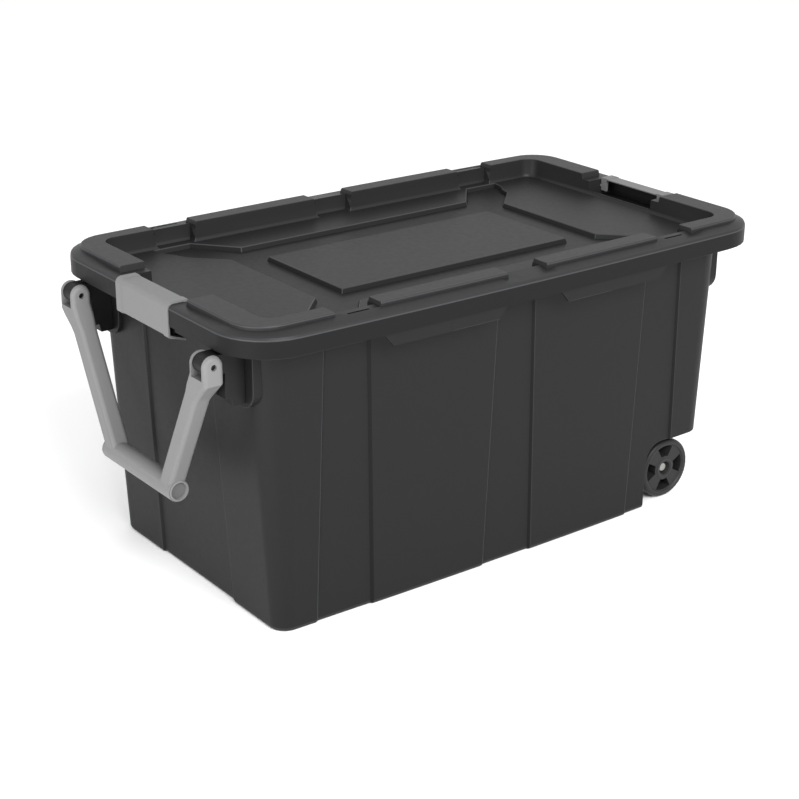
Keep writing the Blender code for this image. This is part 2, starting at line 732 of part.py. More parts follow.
def pocket_sections(outline_at, wall):
    """Stack of outlines down to the top of the plateaus, with a sloping plinth at the foot.

    The outline at a height is asked for by how far it has grown from the size at the ledge."""
    low = PLATEAU_TOP - wall
    high = LEDGE_TOP + REACH
    slope = POCKET_DRAFT / (LEDGE_TOP - PANEL_TOP)
    sections = []
    for z, foot in ((low, PLINTH_WIDTH), (low + PLINTH_HEIGHT, 0.0), (high, 0.0)):
        sections.append(level(outline_at(wall + slope * (z - LEDGE_TOP) - foot), z))
    return sections


def make_pocket(wall):
    """Upper part of the pocket, between the ridge blocks."""
    def outline(grow):
        return bowed_rectangle(POCKET_HALF_LENGTH + grow, POCKET_HALF_WIDTH + grow,
                               POCKET_CORNER + grow, amount=0.0)
    return loft("pocket", pocket_sections(outline, wall))


def make_niche(start, end, wall):
    """Stretch of the pocket that widens into the ledge between two blocks, on both sides."""
    def outline(grow):
        half = POCKET_HALF_WIDTH + NICHE_DEPTH + grow
        return [(end + grow, -half), (end + grow, half), (start - grow, half),
                (start - grow, -half)]
    return loft("niche", pocket_sections(outline, wall))


def sunk_outline():
    """Border of the sunk panel: it runs round the end plateaus and the side plateaus."""
    wall_y = POCKET_HALF_WIDTH - POCKET_DRAFT - PLINTH_WIDTH - PLINTH_SHELF
    cut_x = END_PLATEAU_X + END_PLATEAU_CUT
    cut_y = END_PLATEAU_Y + END_PLATEAU_CUT
    round_y = wall_y - cut_y
    quarter = [(END_PLATEAU_X, 0.0), (END_PLATEAU_X, END_PLATEAU_Y), (cut_x, cut_y)]
    quarter += arc(END_PLATEAU_FOOT_X - round_y, wall_y, round_y, -END_PLATEAU_ROUND_TURN, 0,
                   EDGE_STEPS)
    quarter += [(SIDE_PLATEAU_HALF_FOOT, wall_y), (SIDE_PLATEAU_HALF_TOP, SIDE_PLATEAU_Y),
                (0.0, SIDE_PLATEAU_Y)]
    return four_quarters(quarter)


def sloped(name, outline, low, high, slope):
    """Solid whose sides lean outward by slope over one plateau height."""
    lean = slope * (high - low) / PLATEAU_HEIGHT
    return loft(name, [level(outline, low), level(offset_outline(outline, lean), high)])


def make_panel_cut(wall):
    bottom = offset_outline(sunk_outline(), wall - PLATEAU_SLOPE)
    low = PANEL_TOP - wall
    return sloped("panel_cut", bottom, low, low + 2 * PLATEAU_HEIGHT, PLATEAU_SLOPE)


def make_island(wall):
    foot = [(ISLAND_HALF_LENGTH, -ISLAND_HALF_WIDTH), (ISLAND_HALF_LENGTH, ISLAND_HALF_WIDTH),
            (-ISLAND_HALF_LENGTH, ISLAND_HALF_WIDTH), (-ISLAND_HALF_LENGTH, -ISLAND_HALF_WIDTH)]
    foot = [(x, y + ISLAND_SHIFT_Y) for x, y in offset_outline(foot, PLATEAU_SLOPE - wall)]
    low = PANEL_TOP - wall - SINK
    foot = offset_outline(foot, PLATEAU_SLOPE * SINK / PLATEAU_HEIGHT)
    return sloped("island", foot, low, PANEL_TOP - wall + PLATEAU_HEIGHT, -PLATEAU_SLOPE)


def latch_recess(wall):
    """Side view of what the lid's edge gives up to a latch, as (x, z) points."""
    face = LATCH_FRONT_X - LATCH_WALL - LATCH_SEAT_GAP - wall
    top = LEDGE_TOP - wall
    radius = max(LATCH_SEAT_ROUND, wall + MM) - wall
    far = LID_HALF_LENGTH + REACH
    shoulder = arc(face - radius, top - radius, radius, 0, 90, EDGE_STEPS)
    return [(face, SKIRT_BOTTOM - REACH)] + shoulder + [
        (face - radius, top + SINK), (far, top + SINK), (far, SKIRT_BOTTOM - REACH)]


def make_lid_form(name, wall, group):
    """The lid's outer shape, or with a wall the shape of the space beneath it."""
    bottom = SKIRT_BOTTOM - (REACH if wall else 0.0)
    top = LEDGE_TOP - wall
    round_edge = LEDGE_ROUND - wall / 2
    middle = round_edge * ROUND_MIDDLE
    form = loft(name, [
        level(lid_outline(wall), bottom),
        level(lid_outline(wall), top - round_edge),
        level(lid_outline(wall + middle), top - middle),
        level(lid_outline(wall + round_edge), top),
    ], group)
    join(form, make_ridge(wall))
    cut(form, make_pocket(wall), make_panel_cut(wall))
    for start, end in SIDE_GAPS:
        cut(form, make_niche(start, end, wall))
    join(form, make_island(wall))
    half = LATCH_HALF_WIDTH + LATCH_SIDE_GAP + wall
    for side in (-1, 1):
        outline = [(side * x, z) for x, z in latch_recess(wall)]
        cut(form, plate("latch_recess", [outline], -half, half, "Y"))
    return form


def make_side_rib(x, side):
    """Rib under the ledge that rests on the tub's rim, on a long side."""
    in_niche = any(start - LID_WALL < x < end + LID_WALL for start, end in SIDE_GAPS)
    low = side * (POCKET_HALF_WIDTH + POCKET_DRAFT / 2 + (NICHE_DEPTH if in_niche else 0.0))
    straight = LID_HALF_LENGTH - LID_CORNER
    high = side * (LID_HALF_WIDTH - LID_WALL + RIB_SINK + bow(x, straight))
    low, high = sorted((low, high))
    return box("side_rib", (x - RIB_THICKNESS / 2, low, TUB_HEIGHT + TOUCH),
               (x + RIB_THICKNESS / 2, high, LEDGE_TOP - LID_WALL + RIB_SINK))


def make_end_rib(y, thickness, side):
    low = side * (POCKET_HALF_LENGTH + POCKET_DRAFT / 2)
    high = side * (LID_HALF_LENGTH - LID_WALL + RIB_SINK)
    low, high = sorted((low, high))
    return box("end_rib", (low, y - thickness / 2, TUB_HEIGHT + TOUCH),
               (high, y + thickness / 2, LEDGE_TOP - LID_WALL + RIB_SINK))


def make_lid(material):
    lid = make_lid_form("lid", 0.0, PARTS)
    cut(lid, make_lid_form("lid_hollow", LID_WALL, CUTTERS))
    for side in (-1, 1):
        for index in range(-SIDE_RIBS_EACH_WAY, SIDE_RIBS_EACH_WAY + 1):
            join(lid, make_side_rib(index * SIDE_RIB_PITCH, side))
    bearing = LATCH_HALF_WIDTH + LATCH_SIDE_GAP
    for end in (-1, 1):
        for side in (-1, 1):
            join(lid, make_end_rib(side * (bearing + LID_WALL / 2 - TOUCH), LID_WALL + TOUCH, end))
            for index in range(END_RIBS):
                place_y = LATCH_HALF_WIDTH + END_RIB_SPACE + index * END_RIB_PITCH
                join(lid, make_end_rib(side * place_y, RIB_THICKNESS, end))
        inner = end * (POCKET_HALF_LENGTH - REACH / 2)
        outer = end * (LATCH_PIVOT_X + HINGE_SLOT_END)
        low, high = sorted((inner, outer))
        cut(lid, box("hinge_slot", (low, -bearing, LEDGE_TOP - HINGE_SLOT_SILL),
                     (high, bearing, LEDGE_TOP + REACH)))
        cut(lid, rod("trunnion_hole", TRUNNION_RADIUS + TOUCH, -bearing - 2 * LID_WALL,
                     bearing + 2 * LID_WALL, end * LATCH_PIVOT_X, LATCH_PIVOT_Z))
        for side in (-1, 1):
            start, finish = sorted((end * SLIT_START, end * (SLIT_START + SLIT_LENGTH)))
            cut(lid, box("slit", (start, side * SLIT_Y - SLIT_WIDTH / 2, LEDGE_TOP - REACH / 2),
                         (finish, side * SLIT_Y + SLIT_WIDTH / 2, LEDGE_TOP + REACH)))
    finish_part(lid, material)
    return lid


# Latches

def latch_section(dish):
    """Side view of the clip about its pivot, as (x, z) points with x outward."""
    flange_top = LEDGE_TOP + TOUCH + LATCH_WALL - LATCH_PIVOT_Z
    flange_low = flange_top - LATCH_WALL
    front = LATCH_FRONT_X - LATCH_PIVOT_X
    back = front - LATCH_WALL
    foot = LATCH_FOOT_Z - LATCH_PIVOT_Z
    heel = foot + LATCH_WALL + LATCH_HEEL
    tip = back - LATCH_HOOK_REACH
    drop = LATCH_HOOK_DROP
    outer = [(-PRONG_BACK, flange_top - dish)]
    outer += [(front - LATCH_SHOULDER + x, flange_top - LATCH_SHOULDER + z) for x, z in
              arc(0, 0, LATCH_SHOULDER - dish, 90, 0, ROUND_STEPS)]
    outer += [(front - LATCH_FOOT_ROUND + x, foot + LATCH_FOOT_ROUND + z) for x, z in
              arc(0, 0, LATCH_FOOT_ROUND - dish, 0, -LATCH_FOOT_TURN, EDGE_STEPS)]
    outer += [(tip, foot - drop + dish)]
    inner = [(tip, foot - drop + LATCH_WALL), (back - LATCH_HEEL, heel),
             (back, heel + LATCH_HEEL)]
    inner += [(back - LATCH_SHOULDER + LATCH_WALL + x, flange_low - LATCH_SHOULDER + LATCH_WALL + z)
              for x, z in arc(0, 0, LATCH_SHOULDER - LATCH_WALL, 0, 90, EDGE_STEPS)]
    inner += [(-PRONG_BACK, flange_low)]
    return outer + inner


def make_latch(name, end, material):
    """Clip latch of one end, with its origin on its hinge line."""
    edge = LATCH_HALF_WIDTH
    border = edge - LATCH_BORDER
    dished = border - LATCH_BORDER_SLOPE
    stations = [(-edge, 0.0), (-border, 0.0), (-dished, LATCH_DISH), (dished, LATCH_DISH),
                (border, 0.0), (edge, 0.0)]
    sections = []
    for y, dish in stations:
        sections.append([(end * (LATCH_PIVOT_X + x), y, LATCH_PIVOT_Z + z)
                         for x, z in latch_section(dish)])
    latch = loft(name, sections, PARTS)
    pivot_x = end * LATCH_PIVOT_X
    top = LEDGE_TOP + TOUCH + LATCH_WALL / 2
    tip = LATCH_PIVOT_Z - PRONG_DROP
    prong = [(pivot_x - end * PRONG_BACK, top), (pivot_x - end * PRONG_TIP_BACK, tip),
             (pivot_x + end * PRONG_TIP_FRONT, tip), (pivot_x + end * PRONG_FRONT, top)]
    for side in (-1, 1):
        low, high = sorted((side * edge, side * (edge - PRONG_WIDTH)))
        join(latch, plate("prong", [prong], low, high, "Y"))
        start, finish = sorted((side * (edge - SINK), side * (edge + TRUNNION_LENGTH)))
        join(latch, rod("trunnion", TRUNNION_RADIUS, start, finish, pivot_x, LATCH_PIVOT_Z))
    place(latch, (pivot_x, 0.0, LATCH_PIVOT_Z))
    finish_part(latch, material)
    return latch


# Pull handle

def arm_outline(side):
    """Front view of one arm with its fork, as (y, z) points."""
    outer = PAD_CENTRE_Y + FORK_WIDTH / 2
    inner = PAD_CENTRE_Y - FORK_WIDTH / 2
    top = HANDLE_PIVOT_Z + FORK_EAR_RADIUS + SINK
    straight = HANDLE_PIVOT_Z - FORK_STRAIGHT
    bar_z = HANDLE_PIVOT_Z - CROSSBAR_DROP
    foot_y = CROSSBAR_HALF_LENGTH - CROSSBAR_RADIUS / 2
    chamfer = (outer - FORK_CHAMFER, straight - FORK_CHAMFER)
    lean = (chamfer[0] - foot_y) / (chamfer[1] - bar_z)
    inner_foot = foot_y - ARM_WIDTH
    inner_turn = bar_z + (inner - inner_foot) / lean
    points = [(outer, top), (inner, top), (inner, min(inner_turn, HANDLE_PIVOT_Z)),
              (inner_foot, bar_z), (foot_y, bar_z), chamfer, (outer, straight)]
    return [(side * y, z) for y, z in points]


def make_arm(side):
    """One arm: its front view cut to its side view, with rounded edges."""
    reach = FORK_EAR_RADIUS + SINK
    arm = plate("arm", [arm_outline(side)], HANDLE_PIVOT_X - reach, HANDLE_PIVOT_X + reach, "X")
    half = ARM_DEPTH / 2
    taper = HANDLE_PIVOT_Z - ARM_TAPER_START
    foot = HANDLE_PIVOT_Z - CROSSBAR_DROP - SINK
    outline = arc(HANDLE_PIVOT_X, HANDLE_PIVOT_Z, FORK_EAR_RADIUS, 0, 180, 2 * ROUND_STEPS)
    outline += [(HANDLE_PIVOT_X - FORK_EAR_RADIUS, taper + FORK_EAR_RADIUS),
                (HANDLE_PIVOT_X - half, taper), (HANDLE_PIVOT_X - half, foot),
                (HANDLE_PIVOT_X + half, foot), (HANDLE_PIVOT_X + half, taper),
                (HANDLE_PIVOT_X + FORK_EAR_RADIUS, taper + FORK_EAR_RADIUS)]
    low, high = sorted((side * (PAD_CENTRE_Y + FORK_WIDTH), side * ARM_END_CLEAR))
    keep_within(arm, plate("arm_side", [outline], low, high, "Y"))
    edges = arm.modifiers.new("rounded_edges", "BEVEL")
    edges.width = ARM_EDGE_ROUND
    edges.segments = BEVEL_STEPS
    edges.limit_method = "ANGLE"
    edges.angle_limit = math.radians(BEVEL_ANGLE)
    slot_bottom = HANDLE_PIVOT_Z - FORK_SLOT_DEPTH
    centre = side * PAD_CENTRE_Y
    cut(arm, box("fork_slot", (HANDLE_PIVOT_X - REACH, centre - FORK_SLOT / 2, slot_bottom),
                 (HANDLE_PIVOT_X + REACH, centre + FORK_SLOT / 2, HANDLE_PIVOT_Z + REACH)))
    return arm


def make_handle(material):
    bar_z = HANDLE_PIVOT_Z - CROSSBAR_DROP
    half = CROSSBAR_HALF_LENGTH
    edge = CROSSBAR_END_ROUND
    dish = half - CROSSBAR_DISH_DEPTH
    profile = [(0.0, dish), (CROSSBAR_DISH_RADIUS - CROSSBAR_DISH_DRAFT, dish),
               (CROSSBAR_DISH_RADIUS, half)]
    profile += arc(CROSSBAR_RADIUS - edge, half - edge, edge, 90, 0, BEVEL_STEPS)
    profile += [(radius, -y) for radius, y in reversed(profile)]
    handle = turned("pull_handle", profile)
    handle.location = (HANDLE_PIVOT_X, 0.0, bar_z)
    bpy.context.view_layer.update()
    for side in (-1, 1):
        join(handle, make_arm(side))
        low, high = sorted((side * (PAD_CENTRE_Y - FORK_WIDTH), side * (PAD_CENTRE_Y + FORK_WIDTH)))
        cut(handle, rod("pin_hole", PIN_RADIUS + TOUCH, low, high, HANDLE_PIVOT_X, HANDLE_PIVOT_Z))
    apply_modifiers(handle)
    place(handle, (HANDLE_PIVOT_X, 0.0, HANDLE_PIVOT_Z))
    finish_part(handle, material)
    return handle


def apply_modifiers(item):
    """Replace an object's mesh by its evaluated one, in world axes."""
    bpy.context.view_layer.update()
    evaluated = item.evaluated_get(bpy.context.evaluated_depsgraph_get())
    mesh = bpy.data.meshes.new_from_object(evaluated)
    mesh.transform(item.matrix_world)
    item.modifiers.clear()
    item.data = mesh
    item.matrix_world = Matrix.Identity(4)


def make_bracket(name, side, material):
    """Black bracket on its pad, with a round lug that fills the fork."""
    wall_x = -PAD_FACE_X - TOUCH
    top = HANDLE_PIVOT_Z + LUG_RADIUS
    neck_x = HANDLE_PIVOT_X + LUG_ROOM
    outline = [(wall_x, BRACKET_BOTTOM), (wall_x, top)]
    outline += arc(HANDLE_PIVOT_X, HANDLE_PIVOT_Z, LUG_RADIUS, 90, 300, 2 * ROUND_STEPS)
    outline += [(neck_x, HANDLE_PIVOT_Z - LUG_NECK_DROP), (neck_x, BRACKET_STEP_BOTTOM),
                (BRACKET_STEP_X - BRACKET_STEP_SLOPE, BRACKET_STEP_BOTTOM),
                (BRACKET_STEP_X, BRACKET_BOTTOM)]
    centre = side * PAD_CENTRE_Y
    bracket = plate(name, [outline], centre - LUG_WIDTH / 2, centre + LUG_WIDTH / 2, "Y", PARTS)
    cut(bracket, rod("lug_hole", PIN_RADIUS + TOUCH, centre - LUG_WIDTH, centre + LUG_WIDTH,
                     HANDLE_PIVOT_X, HANDLE_PIVOT_Z))
    place(bracket, (HANDLE_PIVOT_X, centre, HANDLE_PIVOT_Z))
    finish_part(bracket, material)
    return bracket


def make_pin(name, side, material):
    half = FORK_WIDTH / 2 - PIN_RECESS
    centre = side * PAD_CENTRE_Y
    pin = rod(name, PIN_RADIUS, centre - half, centre + half, HANDLE_PIVOT_X, HANDLE_PIVOT_Z,
              PARTS)
    place(pin, (HANDLE_PIVOT_X, centre, HANDLE_PIVOT_Z))
    finish_part(pin, material)
    return pin


# Wheels and axle

def wheel_pocket(angle):
    """Outline of one hollow between two spokes, as points about the hub."""
    outer = WHEEL_POCKET_OUTER_SPREAD / 2
    inner = WHEEL_POCKET_INNER_SPREAD / 2
    points = arc(0, 0, WHEEL_POCKET_OUTER, angle - outer, angle + outer, ROUND_STEPS)
    points += arc(0, 0, WHEEL_POCKET_INNER, angle + inner, angle - inner, BEVEL_STEPS)
    return points


def make_wheel(name, side, material):
    """Moulded wheel with four deep pockets, its origin on the axle."""
    face = WHEEL_FACE_Y
    back = face - WHEEL_WIDTH
    tread = WHEEL_TREAD_ROUND
    floor = face - HUB_HOLE_DEPTH
    bore = AXLE_RADIUS + TOUCH
    ring = WHEEL_RADIUS - WHEEL_RING
    profile = [(bore, floor), (HUB_HOLE_RADIUS - HUB_HOLE_DRAFT, floor),
               (HUB_HOLE_RADIUS, face - HUB_HOLE_DRAFT), (HUB_RADIUS, face - HUB_EDGE),
               (HUB_RADIUS + HUB_SLOPE, face - WHEEL_DISH),
               (ring - WHEEL_RING_SLOPE, face - WHEEL_DISH), (ring, face)]
    profile += arc(WHEEL_RADIUS - tread, face - tread, tread, 90, 0, BEVEL_STEPS)
    profile += [(WHEEL_RADIUS, back + WHEEL_BACK_ROUND), (WHEEL_RADIUS - WHEEL_BACK_ROUND, back),
                (HUB_RADIUS, back), (HUB_RADIUS - HUB_BOSS_DRAFT, back - HUB_BOSS_LENGTH),
                (bore, back - HUB_BOSS_LENGTH), (bore, floor)]
    wheel = turned(name, [(radius, side * y) for radius, y in profile], steps=WHEEL_STEPS)
    wheel.location = (WHEEL_X, 0.0, WHEEL_Z)
    outlines = []
    for index in range(WHEEL_POCKETS):
        pocket = wheel_pocket(index * 360 / WHEEL_POCKETS)
        outlines.append([(WHEEL_X + x, WHEEL_Z + z) for x, z in pocket])
    low, high = sorted((side * (face + SINK), side * (face - WHEEL_POCKET_DEPTH)))
    apply_modifiers(wheel)
    if side < 0:
        wheel.data.flip_normals()
    cut(wheel, plate("wheel_pockets", outlines, low, high, "Y"))
    place(wheel, (WHEEL_X, side * (face - WHEEL_WIDTH / 2), WHEEL_Z))
    finish_part(wheel, material)
    return wheel


def cap_seat():
    """Distance from the middle to the inner face of an axle cap."""
    return WHEEL_FACE_Y - HUB_HOLE_DEPTH + TOUCH


def make_axle(material):
    half = cap_seat() + CAP_THICKNESS / 2
    tip = AXLE_TIP
    profile = [(0.0, half), (AXLE_RADIUS - tip, half), (AXLE_RADIUS, half - tip),
               (AXLE_RADIUS, tip - half), (AXLE_RADIUS - tip, -half), (0.0, -half)]
    axle = turned("axle", profile, steps=AXLE_STEPS)
    axle.location = (WHEEL_X, 0.0, WHEEL_Z)
    finish_part(axle, material)
    return axle


def make_cap(name, side, material):
    """Pressed cap that holds a wheel on the axle's end."""
    seat = cap_seat()
    bore = AXLE_RADIUS + TOUCH
    inside = seat + CAP_THICKNESS / 2 + TOUCH
    crown = seat + CAP_THICKNESS
    profile = [(0.0, crown), (CAP_CROWN_RADIUS, crown), (CAP_RADIUS - CAP_EDGE, crown - CAP_EDGE),
               (CAP_RADIUS, seat), (bore, seat), (bore, inside), (0.0, inside)]
    cap = turned(name, [(radius, side * y) for radius, y in profile], steps=AXLE_STEPS)
    cap.location = (WHEEL_X, 0.0, WHEEL_Z)
    apply_modifiers(cap)
    if side < 0:
        cap.data.flip_normals()
    place(cap, (WHEEL_X, side * seat, WHEEL_Z))
    finish_part(cap, material)
    return cap


def main():
    charcoal = make_material("charcoal_polypropylene", "charcoal", 0.5)
    lid_plastic = make_material("lid_polypropylene", "charcoal", 0.5)
    grey = make_material("grey_polypropylene", "grey", 0.5)
    black = make_material("black_polypropylene", "black", 0.55)
    wheel_plastic = make_material("wheel_plastic", "charcoal", 0.45)
    steel = make_material("zinc_plated_steel", "steel", 0.35, 1.0)
    dark_steel = make_material("blackened_steel", "dark_steel", 0.45, 1.0)
    make_tub(charcoal)
    make_lid(lid_plastic)
    make_latch("latch_handle_end", -1, grey)
    make_latch("latch_wheel_end", 1, grey)
    make_handle(grey)
    for name, side in (("front", -1), ("rear", 1)):
        make_bracket("handle_bracket_" + name, side, black)
        make_pin("handle_pin_" + name, side, dark_steel)
        make_wheel("wheel_" + name, side, wheel_plastic)
        make_cap("axle_cap_" + name, side, steel)
    make_axle(steel)


main()
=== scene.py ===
"""Looks of a wheeled storage bin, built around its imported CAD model.

Laid out as an add-on: each operator makes one group of like pieces in metres,
in the same place as the CAD nodes that they stand for.
"""

import math

import bmesh
import bpy
from bpy.props import FloatProperty, FloatVectorProperty, PointerProperty
from mathutils import Matrix, Vector
from mathutils.bvhtree import BVHTree
from mathutils.geometry import intersect_line_line_2d


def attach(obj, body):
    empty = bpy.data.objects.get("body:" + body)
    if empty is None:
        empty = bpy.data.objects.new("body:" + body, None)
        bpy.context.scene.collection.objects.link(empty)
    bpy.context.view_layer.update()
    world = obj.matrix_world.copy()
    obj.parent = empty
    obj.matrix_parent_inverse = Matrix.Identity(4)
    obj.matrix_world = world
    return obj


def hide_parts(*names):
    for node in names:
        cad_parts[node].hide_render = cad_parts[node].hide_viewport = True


bl_info = {
    "name": "Wheeled storage bin",
    "version": (1, 0, 0),
    "blender": (4, 5, 0),
    "location": "3D View > Sidebar > Storage bin",
    "description": "Makes the shown pieces of a wheeled storage bin and its studio",
    "category": "Add Mesh",
}

MM = 0.001

# Heights on the lid
POCKET_TOP = 425 * MM
PLATEAU_TOP = 426.8 * MM
RIM_LOW = 440 * MM
SKIRT_TOP = RIM_LOW + 3 * MM
LEDGE_TOP = 447 * MM
RIM_HIGH = 448 * MM
LEDGE_RISE = 3.5 * MM

# Distances from the bin's middle: ends along its length, sides across it
ISLAND_END = 200 * MM
LONG_WALL_END = 370 * MM
LID_SKIRT_END = 380 * MM
LATCH_BAY_END = 403 * MM
LATCH_BAY_SIDE = 72.5 * MM
LONG_WALL_SIDE = 170 * MM
LID_SKIRT_SIDE = 230 * MM

# The handle's bar: its height, and how far inside its ends a dish lies
BAR_HEIGHT = 32 * MM
DISH_DEPTH = 0.5 * MM

# Cleaning of the CAD meshes: shortest real edge, and bend that still counts as flat
WELD = 0.02 * MM
FLAT_BEND = math.radians(0.05)

# Play in heights: between a surface and its own level, and along a bevelled edge
LEVEL_PLAY = 0.05 * MM
EDGE_PLAY = 0.1 * MM

# Upward share of a face's normal
FLAT = 0.9999
LEVEL = 0.99
SLOPING_FLOOR = 0.3
LEANING_WALL = 0.5
UPRIGHT = 0.15
# The same for the faces of a rounding, from the steepest to the flattest
STEEPEST_RIM = 0.1
STEEPEST_ROUNDING = 0.15
FLATTEST_ROUNDING = 0.98
# Share of a normal towards the handle's end, or towards a side
COLUMN_SIDE = 0.2
BAR_DISH = 0.6

# Room that a bevel needs, in its own widths: along its edge, and on the faces beside it
ROOM_ALONG = 2.2
ROOM_BESIDE = 1.1
# Round a crossing outline, edges within this many widths stay sharp, try by try
ROUNDING_TRIES = (1.0, 1.0, 1.5, 1.5, 2.0, 2.0, 3.0, 4.0)

# Edges sharper than this many degrees are rounded, or shaded as sharp
SHELL_ANGLE = 20
LATCH_ANGLE = 28
WHEEL_ANGLE = 32
BRACKET_ANGLE = 40
HANDLE_ANGLE = 50
SHADING_ANGLE = 40

# Lean along Z of the rays that find a piece's open faces, and the shortest such ray
TUB_LEAN = -0.3
LID_LEAN = 1.0
SHORTEST_RAY = 0.2

# Shares of painted highlight on the lid's rim, and of painted shade and dullness on its skirt,
# sunk floor and island
RIM_HIGHLIGHT = 0.12
SKIRT_DULL_SHADE = 1.0
FLOOR_DULL_SHADE = 0.6
ISLAND_DULL_SHADE = 0.3

# The plastics' refraction, their shine, which the fine texture keeps low, and how far their
# roughness swings
PLASTIC_IOR = 1.49
PLASTIC_SHINE = 0.16
GLOSS_SWING = 0.02

# Sizes of patterns: cloudy tone and uneven gloss of plastic, cloudy plating of steel
MOTTLE_SIZE = 71.4 * MM
GLOSS_SIZE = 8.333 * MM
PLATING_SIZE = 1.111 * MM

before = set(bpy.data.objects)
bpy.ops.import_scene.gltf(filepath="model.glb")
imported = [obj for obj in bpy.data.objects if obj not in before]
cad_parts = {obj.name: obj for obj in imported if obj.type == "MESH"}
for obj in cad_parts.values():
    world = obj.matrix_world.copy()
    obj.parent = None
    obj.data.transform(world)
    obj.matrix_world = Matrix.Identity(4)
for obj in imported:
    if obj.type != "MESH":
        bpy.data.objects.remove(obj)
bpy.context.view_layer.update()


# Colours and nodes

def linear(code):
    """Linear red, green, blue and alpha of an sRGB hex code."""
    channels = [int(code[index:index + 2], 16) / 255 for index in (1, 3, 5)]
    return [c / 12.92 if c <= 0.04045 else ((c + 0.055) / 1.055) ** 2.4 for c in channels] + [1.0]


def toned(colour, share):
    """A colour made paler or darker by a share."""
    return [min(1.0, channel * share) for channel in colour[:3]] + [1.0]


def add_node(tree, kind, settings=None, values=None, links=None):
    """Add one node: its properties, its sockets' values, and links into its sockets."""
    made = tree.nodes.new(kind)
    for name, value in (settings or {}).items():
        setattr(made, name, value)
    for name, value in (values or {}).items():
        made.inputs[name].default_value = value
    for name, source in (links or {}).items():
        tree.links.new(source, made.inputs[name])
    return made


def new_material(name):
    """An empty Principled material, its tree and its shader."""
    material = bpy.data.materials.new(name)
    material.use_nodes = True
    tree = material.node_tree
    return material, tree, tree.nodes["Principled BSDF"]


def moulded_plastic(name, colour, roughness, grain, depth, mottle=0.04, edge_highlight=1.5, dull_shade=1.0):
    """Injection-moulded plastic: satin, faintly mottled, with the mould's fine texture.

    The grain is the size of that texture, and depth its height. The edge highlight is a painted
    highlight: it paints bevelled edges paler. The dull shade is painted shade: it paints marked
    faces darker and lowers their shine."""
    material, tree, shader = new_material(name)
    shader.inputs["IOR"].default_value = PLASTIC_IOR
    shader.inputs["Specular IOR Level"].default_value = PLASTIC_SHINE
    place = add_node(tree, "ShaderNodeTexCoord").outputs["Object"]
    cloud = add_node(tree, "ShaderNodeTexNoise", None,
                     {"Scale": 1.0 / MOTTLE_SIZE, "Detail": 4.0, "Roughness": 0.6},
                     {"Vector": place})
    tone = add_node(tree, "ShaderNodeMix", {"data_type": "RGBA"},
                    {"A": toned(colour, 1 - mottle), "B": toned(colour, 1 + mottle)},
                    {"Factor": cloud.outputs["Fac"]})
    # Painted shade: faces marked dull are painted darker by this share, and their shine is
    # lowered by the same share
    if dull_shade != 1.0:
        zone = add_node(tree, "ShaderNodeAttribute", {"attribute_name": "dull_and_shaded"})
        tone = add_node(tree, "ShaderNodeMix", {"data_type": "RGBA"},
                        {"B": toned(colour, dull_shade)},
                        {"A": tone.outputs["Result"], "Factor": zone.outputs["Fac"]})
        sheen = add_node(tree, "ShaderNodeMapRange", None,
                         {"To Min": PLASTIC_SHINE, "To Max": PLASTIC_SHINE * dull_shade},
                         {"Value": zone.outputs["Fac"]})
        tree.links.new(sheen.outputs["Result"], shader.inputs["Specular IOR Level"])
    # Painted highlight: faces marked as bevelled edges are painted paler by the edge highlight
    # share
    painted_highlight = add_node(tree, "ShaderNodeAttribute", {"attribute_name": "edge"})
    skin = add_node(tree, "ShaderNodeMix", {"data_type": "RGBA"}, {"B": toned(colour, edge_highlight)},
                    {"A": tone.outputs["Result"], "Factor": painted_highlight.outputs["Fac"]})
    tree.links.new(skin.outputs["Result"], shader.inputs["Base Color"])
    flow = add_node(tree, "ShaderNodeTexNoise", None,
                    {"Scale": 1.0 / GLOSS_SIZE, "Detail": 3.0, "Roughness": 0.5},
                    {"Vector": place})
    gloss = add_node(tree, "ShaderNodeMapRange", None,
                     {"From Min": 0.3, "From Max": 0.7, "To Min": roughness - GLOSS_SWING,
                      "To Max": roughness + GLOSS_SWING}, {"Value": flow.outputs["Fac"]})
    tree.links.new(gloss.outputs["Result"], shader.inputs["Roughness"])
    texture = add_node(tree, "ShaderNodeTexNoise", None,
                       {"Scale": 1.0 / grain, "Detail": 2.0, "Roughness": 0.55},
                       {"Vector": place})
    bump = add_node(tree, "ShaderNodeBump", None, {"Strength": 1.0, "Distance": depth},
                    {"Height": texture.outputs["Fac"]})
    tree.links.new(bump.outputs["Normal"], shader.inputs["Normal"])
    return material


def bare_steel(name, colour):
    """Zinc-plated or blackened steel, with the fine cloudiness of its skin."""
    material, tree, shader = new_material(name)
    shader.inputs["Metallic"].default_value = 1.0
    place = add_node(tree, "ShaderNodeTexCoord").outputs["Object"]
    cloud = add_node(tree, "ShaderNodeTexNoise", None,
                     {"Scale": 1.0 / PLATING_SIZE, "Detail": 3.0, "Roughness": 0.6},
                     {"Vector": place})
    tone = add_node(tree, "ShaderNodeMix", {"data_type": "RGBA"},
                    {"A": toned(colour, 0.8), "B": colour}, {"Factor": cloud.outputs["Fac"]})
    tree.links.new(tone.outputs["Result"], shader.inputs["Base Color"])
    gloss = add_node(tree, "ShaderNodeMapRange", None, {"To Min": 0.25, "To Max": 0.42},
                     {"Value": cloud.outputs["Fac"]})
    tree.links.new(gloss.outputs["Result"], shader.inputs["Roughness"])
    return material


# Meshes

def merged_copy(node):
    """A CAD node's mesh with its loose triangles joined and its flat faces whole."""
    shape = bmesh.new()
    shape.from_mesh(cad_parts[node].data)
    bmesh.ops.remove_doubles(shape, verts=shape.verts, dist=WELD)
    bmesh.ops.dissolve_degenerate(shape, edges=shape.edges, dist=WELD)
    bmesh.ops.dissolve_limit(shape, angle_limit=FLAT_BEND, verts=shape.verts, edges=shape.edges)
    shape.normal_update()
    shape.faces.layers.float.new("edge")
    return shape


